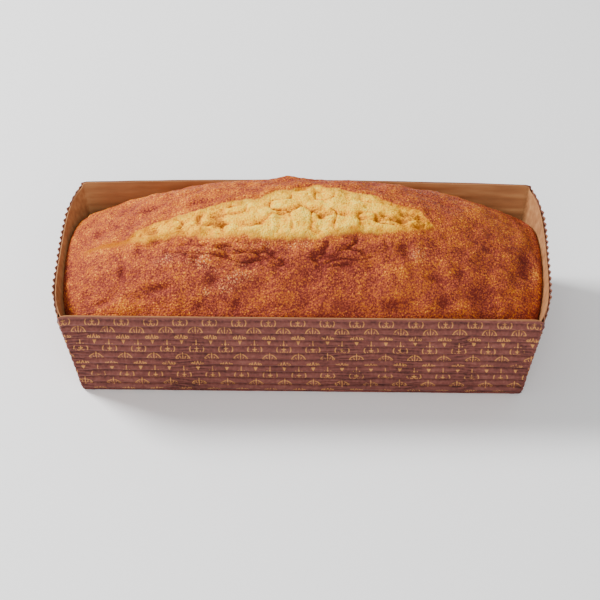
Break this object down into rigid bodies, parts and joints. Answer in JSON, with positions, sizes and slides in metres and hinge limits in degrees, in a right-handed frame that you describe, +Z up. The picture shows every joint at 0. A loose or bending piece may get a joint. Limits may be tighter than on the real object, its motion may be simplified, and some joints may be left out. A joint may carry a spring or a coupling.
{
  "type": "pound cake loaf",
  "caption": "Domed loaf cake with a split along its crown, in the folded fluted paper case it was baked in",
  "frame": {"origin": "middle of the case's underside, where it rests on a surface", "axes": "+X along the loaf, +Y across it to the back, +Z up"},
  "size_m": [0.1792, 0.078, 0.0622],
  "materials": {
    "fluted_board": "matt fluted paper board, printed brown outside and plain kraft inside",
    "golden_crust": "baked crust, golden brown, with pale yellow crumb in the split"
  },
  "bodies": {
    "root": {"baking_case": "fluted_board", "loaf": "golden_crust"}
  },
  "joints": []
}
